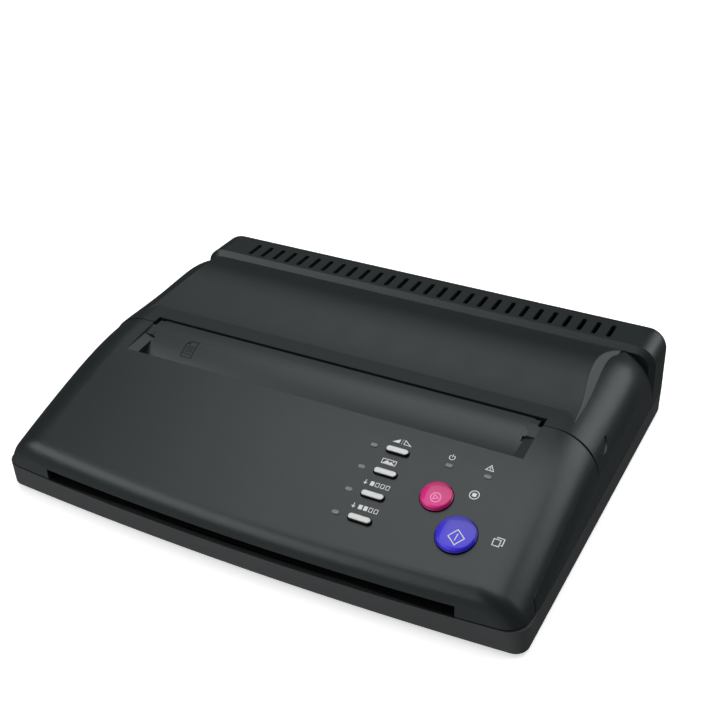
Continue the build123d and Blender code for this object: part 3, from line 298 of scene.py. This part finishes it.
LOOK = {
    "control_panel": m_panel, "upper_housing": m_house, "lower_case": m_tray,
    "latch_button_left": m_latch, "latch_button_right": m_latch,
    "mode_key_1": m_key, "mode_key_2": m_key, "mode_key_3": m_key, "mode_key_4": m_key,
    "stop_key": m_stop, "copy_key": m_copy, "indicator_lenses": m_lens,
    "keypad_board": m_board, "main_board": m_board, "tact_switches": m_comp, "board_components": m_comp,
    "keypad_screws": m_steel, "case_screws": m_steel, "hinge_pins": m_steel,
    "latch_springs": m_spring, "scanner_springs": m_spring, "head_springs": m_spring,
    "feed_roller_shaft": m_steel, "exit_roller_shaft": m_steel, "platen_shaft": m_steel, "motor_shaft": m_steel,
    "idler_posts": m_steel, "platen_rubber": m_rubber, "feed_roller_rubber": m_rubber, "exit_roller_tyres": m_rubber,
    "rubber_feet": m_foot, "platen_gear": m_acetal, "feed_gear": m_acetal, "exit_gear": m_acetal,
    "idler_gear_1": m_acetal, "idler_gear_2": m_acetal, "motor_pinion": m_brass, "bushings": m_comp,
    "scanner_bar": m_comp, "scanner_glass": m_glass, "thermal_head": m_ceramic, "head_heat_sink": m_alu,
    "side_frame_left": m_zinc, "side_frame_right": m_zinc, "cross_bar": m_zinc, "entry_guide": m_dark,
    "exit_guide": m_dark, "stencil_guide": m_dark, "drive_motor": m_motor, "board_spacers": m_steel,
    "dc_jack": m_comp, "power_switch_body": m_comp, "power_rocker": m_comp,
    "document_sensor_lever": m_comp, "document_sensor_bracket": m_comp,
}
for name, obj in nodes.items():
    mat = LOOK[name]
    if not obj.material_slots:
        obj.data.materials.append(mat)
    for s in obj.material_slots:
        s.material = mat

# ---------------------------------------------------------------------------
# Marks printed or moulded on the machine
# ---------------------------------------------------------------------------
KEY_Y, KEY_Z = -0.066, None


def drop(node, x, y):
    """Point of the node's outer surface straight under (x, y), and its normal."""
    hit, loc, nrm, _ = nodes[node].ray_cast(Vector((x, y, 0.2)), Vector((0, 0, -1)))
    return (loc, nrm) if hit else (None, None)


KEY_Z = drop("control_panel", 0.0, KEY_Y)[0].z
KO = Vector((0, KEY_Y, KEY_Z))


def key_point(x, v, n=0.0):
    return KO + Vector((x, 0, 0)) + KV * v + KN * n


def on_node(node, x, v, lift):
    """Point on the node's surface met along the key field's normal."""
    start = key_point(x, v, 0.02)
    hit, loc, nrm, _ = nodes[node].ray_cast(start, -KN)
    return loc + KN * lift if hit else key_point(x, v, lift)


def decal(name, shapes, place, material, body, thick=0.00008, step=0.0006, sink=0.00004):
    """Raised ink: closed outlines (with holes) filled, cut into small cells, laid on a surface."""
    bm = bmesh.new()
    for outline in shapes:
        curve = bpy.data.curves.new("tmp", "CURVE")
        curve.dimensions = "2D"
        curve.fill_mode = "BOTH"
        for loop in outline:
            sp = curve.splines.new("POLY")
            sp.points.add(len(loop) - 1)
            for p, (a, b) in zip(sp.points, loop):
                p.co = (a, b, 0, 1)
            sp.use_cyclic_u = True
        tmp = bpy.data.objects.new("tmp", curve)
        me = bpy.data.meshes.new_from_object(tmp)
        part = bmesh.new()
        part.from_mesh(me)
        # cut into cells so that the mark follows a curved surface
        xs = [v.co.x for v in part.verts]
        ys = [v.co.y for v in part.verts]
        if not xs:
            part.free()
            continue
        for axis, lo, hi in ((0, min(xs), max(xs)), (1, min(ys), max(ys))):
            k = int((hi - lo) / step)
            for i in range(1, k + 1):
                c = lo + (hi - lo) * i / (k + 1)
                co = Vector((c, 0, 0)) if axis == 0 else Vector((0, c, 0))
                no = Vector((1, 0, 0)) if axis == 0 else Vector((0, 1, 0))
                bmesh.ops.bisect_plane(part, geom=part.verts[:] + part.edges[:] + part.faces[:],
                                       plane_co=co, plane_no=no)
        tmp_me = bpy.data.meshes.new("tmp")
        part.to_mesh(tmp_me)
        part.free()
        bm.from_mesh(tmp_me)
        bpy.data.objects.remove(tmp)
        bpy.data.curves.remove(curve)
        bpy.data.meshes.remove(me)
        bpy.data.meshes.remove(tmp_me)
    bmesh.ops.remove_doubles(bm, verts=bm.verts[:], dist=1e-7)
    flat = {v: (v.co.x, v.co.y) for v in bm.verts}
    top = bm.faces[:]
    for v, (a, b) in flat.items():
        v.co = place(a, b, thick)
    bmesh.ops.extrude_face_region(bm, geom=top, use_keep_orig=True)
    for v, (a, b) in flat.items():
        v.co = place(a, b, -sink)
    bmesh.ops.recalc_face_normals(bm, faces=bm.faces[:])
    me = bpy.data.meshes.new(name)
    bm.to_mesh(me)
    bm.free()
    me.materials.append(material)
    obj = bpy.data.objects.new(name, me)
    bpy.context.scene.collection.objects.link(obj)
    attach(obj, body)
    return obj


def circle(cx, cy, r, n=40):
    return [(cx + r * math.cos(2 * math.pi * i / n), cy + r * math.sin(2 * math.pi * i / n)) for i in range(n)]


def ring(cx, cy, r, w, n=40):
    return [circle(cx, cy, r + w / 2, n), circle(cx, cy, r - w / 2, n)]


def stroke(points, w, closed=False):
    """Outline of a polyline drawn with a pen of width w (mitred)."""
    pts = [Vector((p[0], p[1])) for p in points]
    n = len(pts)

    def normal(a, b):
        d = (b - a).normalized()
        return Vector((-d.y, d.x))
    left, right = [], []
    for i in range(n):
        if closed:
            n0, n1 = normal(pts[i - 1], pts[i]), normal(pts[i], pts[(i + 1) % n])
        else:
            n0 = normal(pts[max(i - 1, 0)], pts[max(i, 1)])
            n1 = normal(pts[min(i, n - 2)], pts[min(i + 1, n - 1)])
        m = (n0 + n1)
        m = m.normalized() if m.length > 1e-9 else n0
        k = w / 2 / max(0.3, m.dot(n0))
        left.append(tuple(pts[i] + m * k))
        right.append(tuple(pts[i] - m * k))
    if closed:
        return [left, right]
    return [left + right[::-1]]


def arc(cx, cy, r, a0, a1, n=24):
    return [(cx + r * math.cos(math.radians(a0 + (a1 - a0) * i / n)),
             cy + r * math.sin(math.radians(a0 + (a1 - a0) * i / n))) for i in range(n + 1)]


def mm(shape):
    return [[(a / 1000, b / 1000) for a, b in loop] for loop in shape]


def panel_place(x0, v0):
    def f(a, b, lift):
        return on_node("control_panel", x0 + a, v0 + b, lift)
    return f


def cap_place(node, x0, v0):
    def f(a, b, lift):
        return on_node(node, x0 + a, v0 + b, lift)
    return f


class Lens:
    """Raised clear-coated lens that closes the top of a round key: wall, rolled rim and shallow dome."""

    def __init__(self, x, v, radius, base=0.0005, shoulder=0.0013, roll=0.0011, end=76.0):
        self.x, self.v, self.radius, self.base, self.shoulder, self.roll = x, v, radius, base, shoulder, roll
        a = math.radians(end)
        self.r1 = radius - roll + roll * math.cos(a)
        self.n1 = shoulder + roll * math.sin(a)
        self.top = self.n1 + self.r1 / math.tan(a) / 2
        self.end = a

    def height(self, r):
        return self.top - (self.top - self.n1) * (r / self.r1) ** 2

    def place(self, x0, v0):
        def f(a, b, lift):
            x, v = x0 + a, v0 + b
            return key_point(x, v, self.height(math.hypot(x - self.x, v - self.v)) + lift)
        return f

    def build(self, name, material, body, count=96):
        profile = [(self.radius - 0.0004, self.base), (self.radius, self.base + 0.0001), (self.radius, self.shoulder)]
        for i in range(1, 10):
            a = self.end * i / 9
            profile.append((self.radius - self.roll + self.roll * math.cos(a), self.shoulder + self.roll * math.sin(a)))
        for i in range(1, 12):
            r = self.r1 * (1 - i / 12)
            profile.append((r, self.height(r)))
        bm = bmesh.new()
        rings = []
        for r, n in profile:
            rings.append([bm.verts.new(key_point(self.x + r * math.cos(2 * math.pi * k / count),
                                                 self.v + r * math.sin(2 * math.pi * k / count), n))
                          for k in range(count)])
        for lo, hi in zip(rings, rings[1:]):
            for k in range(count):
                bm.faces.new((lo[k], lo[(k + 1) % count], hi[(k + 1) % count], hi[k]))
        crown = bm.verts.new(key_point(self.x, self.v, self.top))
        under = bm.verts.new(key_point(self.x, self.v, self.base))
        for k in range(count):
            bm.faces.new((rings[-1][k], rings[-1][(k + 1) % count], crown))
            bm.faces.new((rings[0][(k + 1) % count], rings[0][k], under))
        bmesh.ops.recalc_face_normals(bm, faces=bm.faces[:])
        me = bpy.data.meshes.new(name)
        bm.to_mesh(me)
        bm.free()
        for f in me.polygons:
            f.use_smooth = True
        me.materials.append(material)
        obj = bpy.data.objects.new(name, me)
        bpy.context.scene.collection.objects.link(obj)
        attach(obj, body)
        return obj


stop_lens = Lens(0.0810, 0.0001, 0.0072)
copy_lens = Lens(0.0969, -0.01505, 0.0089)


def floor_place(x0, y0):
    """Laid on the sloping floor of the sheet recess, seen from straight above."""
    def f(a, b, lift):
        loc, nrm = drop("control_panel", x0 + a, y0 + b)
        return loc + nrm * lift
    return f


def bar(x0, x1, y0, y1):
    return [[(x0, y0), (x1, y0), (x1, y1), (x0, y1)]]


W1 = 0.36          # pen width of the small marks, mm
icons = {}
# a shape and its mirror image on either side of a dashed line
icons["mode_1"] = [[[(-4.6, -1.2), (-1.2, -1.2), (-1.2, 1.25)]],
                   stroke([(4.6, -1.2), (1.2, -1.2), (1.2, 1.25)], W1, True),
                   bar(-0.14, 0.14, -1.35, -0.75), bar(-0.14, 0.14, -0.3, 0.3), bar(-0.14, 0.14, 0.75, 1.35)]
# framed picture
icons["mode_2"] = [stroke([(-3.4, -1.25), (3.4, -1.25), (3.4, 1.3), (-3.4, 1.3)], W1, True),
                   [[(-2.9, -0.95), (-1.0, 0.75), (0.3, -0.25), (1.1, 0.35), (2.8, -0.95)]],
                   [circle(2.0, 0.62, 0.34, 16)]]
# depth of print: one and two cells of a scale filled, after an arrow pointing down
for count, key in ((1, "mode_3"), (2, "mode_4")):
    cells = [stroke([(-5.3, 1.25), (-5.3, -0.9)], W1), stroke([(-6.1, -0.1), (-5.3, -1.05), (-4.5, -0.1)], W1)]
    for k in range(4):
        x = -2.9 + 2.55 * k
        cells.append(bar(x, x + 1.85, -1.15, 1.15) if k < count
                     else stroke([(x + 0.15, -1.0), (x + 1.7, -1.0), (x + 1.7, 1.0), (x + 0.15, 1.0)], 0.3, True))
    icons[key] = cells
icons["power"] = [stroke(arc(0, 0, 1.3, 122, 418, 28), 0.38), stroke([(0, 0.15), (0, 1.75)], 0.38)]
icons["error"] = [stroke([(-1.85, -1.25), (1.85, -1.25), (0, 1.75)], 0.36, True),
                  stroke([(0, 0.75), (0, -0.2)], 0.38), [circle(0, -0.68, 0.24, 12)]]
icons["stop"] = [ring(0, 0, 2.15, 0.42, 44), bar(-0.95, 0.95, -0.95, 0.95)]
icons["copy"] = [stroke([(-2.2, -2.0), (0.9, -2.0), (0.9, 1.2), (-2.2, 1.2)], 0.42, True),
                 stroke([(-0.95, 1.75), (-0.95, 2.2), (2.2, 2.2), (2.2, -1.1), (1.45, -1.1)], 0.42)]

MARKS = (("mode_1", 53.5, 23.1), ("mode_2", 52.7, 10.4), ("mode_3", 52.7, -2.8), ("mode_4", 53.2, -15.8),
         ("power", 78.7, 22.4), ("error", 97.3, 22.4), ("stop", 96.2, 6.6), ("copy", 115.0, -12.3))
for key, x, v in MARKS:
    decal(f"{key}_mark", [mm(s) for s in icons[key]], panel_place(x / 1000, v / 1000), m_print, "cover")

stop_lens.build("stop_key_lens", m_stop_lens, "stop_button")
copy_lens.build("copy_key_lens", m_copy_lens, "copy_button")
q = 3.55
diamond = [stroke([(-q, -0.5), (0.5, -q), (q, 0.5), (-0.5, q)], 0.44, True), stroke([(-0.15, -1.7), (0.2, 1.7)], 0.44)]
decal("copy_symbol", [mm(s) for s in diamond], copy_lens.place(0.0984, -0.0177), m_print, "copy_button",
      thick=0.00005, step=0.0004)
tri = [ring(0, 0, 2.25, 0.42, 48), stroke([(-0.85, -1.1), (1.3, 0), (-0.85, 1.1)], 0.36, True)]
decal("stop_symbol", [mm(s) for s in tri], stop_lens.place(0.0818, -0.0019), m_pale, "stop_button",
      thick=0.00005, step=0.0004)

# sheet with lines on it, moulded into the floor of the recess, coloured darker than the panel as painted shade of its
# relief
sheet = [stroke([(-3.1, -4.3), (3.1, -4.3), (3.1, 4.2), (-1.3, 4.2), (-3.1, 2.5)], 0.36, True),
         stroke([(-1.3, 4.1), (-1.3, 2.5), (-3.0, 2.5)], 0.3)]
for k in range(4):
    sheet.append(stroke([(-1.9, 1.2 - 1.3 * k), (1.9, 1.2 - 1.3 * k)], 0.32))
decal("sheet_mark", [mm(s) for s in sheet], floor_place(-0.0798, -0.0209), m_mark, "cover",
      thick=0.00022, step=0.0006)

# ---------------------------------------------------------------------------
# Floor and light
# ---------------------------------------------------------------------------
me = bpy.data.meshes.new("floor")
bm = bmesh.new()
bmesh.ops.create_grid(bm, x_segments=2, y_segments=2, size=4.0)
bm.to_mesh(me)
bm.free()
floor = bpy.data.objects.new("floor", me)
bpy.context.scene.collection.objects.link(floor)
fm, fnt, fb = new_mat("floor_white")
fnt.links.new(ramp(fnt, noise(fnt, coords(fnt), 3.0), [(0.3, (0.88, 0.88, 0.88)), (0.7, (0.90, 0.90, 0.90))]),
              fb.inputs["Base Color"])
fb.inputs["Roughness"].default_value = 0.9
fb.inputs["Specular IOR Level"].default_value = 0.1
fb.inputs["Emission Color"].default_value = (1, 1, 1, 1)
fb.inputs["Emission Strength"].default_value = 0.55
floor.visible_glossy = False
me.materials.append(fm)


def area(name, loc, target, size, power, size_y=None, color=(1, 1, 1)):
    d = bpy.data.lights.new(name, "AREA")
    d.shape = "RECTANGLE" if size_y else "SQUARE"
    d.size = size
    if size_y:
        d.size_y = size_y
    d.energy = power
    d.color = color
    o = bpy.data.objects.new(name, d)
    bpy.context.scene.collection.objects.link(o)
    o.location = loc
    o.rotation_euler = (Vector(target) - Vector(loc)).to_track_quat("-Z", "Y").to_euler()
    return o


area("top_light", (0.08, 0.13, 1.2), (0.08, 0.13, 0), 1.66, 11.6, 1.1)
area("rear_light", (-0.75, 1.05, 1.2), (-0.75, 1.05, 0), 1.3, 1.9, 0.9)
area("right_light", (0.88, 0.74, 0.60), (0, 0, 0.03), 1.2, 6.2, 0.8)
area("front_light", (-1.25, -1.1, 1.25), (0, 0, 0.03), 1.8, 15.0, 1.0)
area("strip_light", (-0.26, -1.14, 0.47), (0.09, -0.08, 0.04), 0.8, 1.0, 0.07)
world = bpy.data.worlds.new("studio")
bpy.context.scene.world = world
world.use_nodes = True
wnt = world.node_tree
back = wnt.nodes["Background"]
# dim room, brighter low down in front where the white table throws light up
way = wnt.nodes.new("ShaderNodeTexCoord").outputs["Generated"]
dot = wnt.nodes.new("ShaderNodeVectorMath")
dot.operation = "DOT_PRODUCT"
dot.inputs[1].default_value = Vector((-0.30, -0.74, -0.60))
wnt.links.new(way, dot.inputs[0])
glow = wnt.nodes.new("ShaderNodeMapRange")
glow.interpolation_type = "SMOOTHSTEP"
glow.inputs["From Min"].default_value = 0.25
glow.inputs["From Max"].default_value = 0.95
glow.inputs["To Min"].default_value = 0.06
glow.inputs["To Max"].default_value = 0.36
wnt.links.new(dot.outputs["Value"], glow.inputs["Value"])
back.inputs["Color"].default_value = (1, 1, 1, 1)
wnt.links.new(glow.outputs["Result"], back.inputs["Strength"])
bpy.context.scene.view_settings.view_transform = "Standard"
bpy.context.scene.view_settings.look = "None"
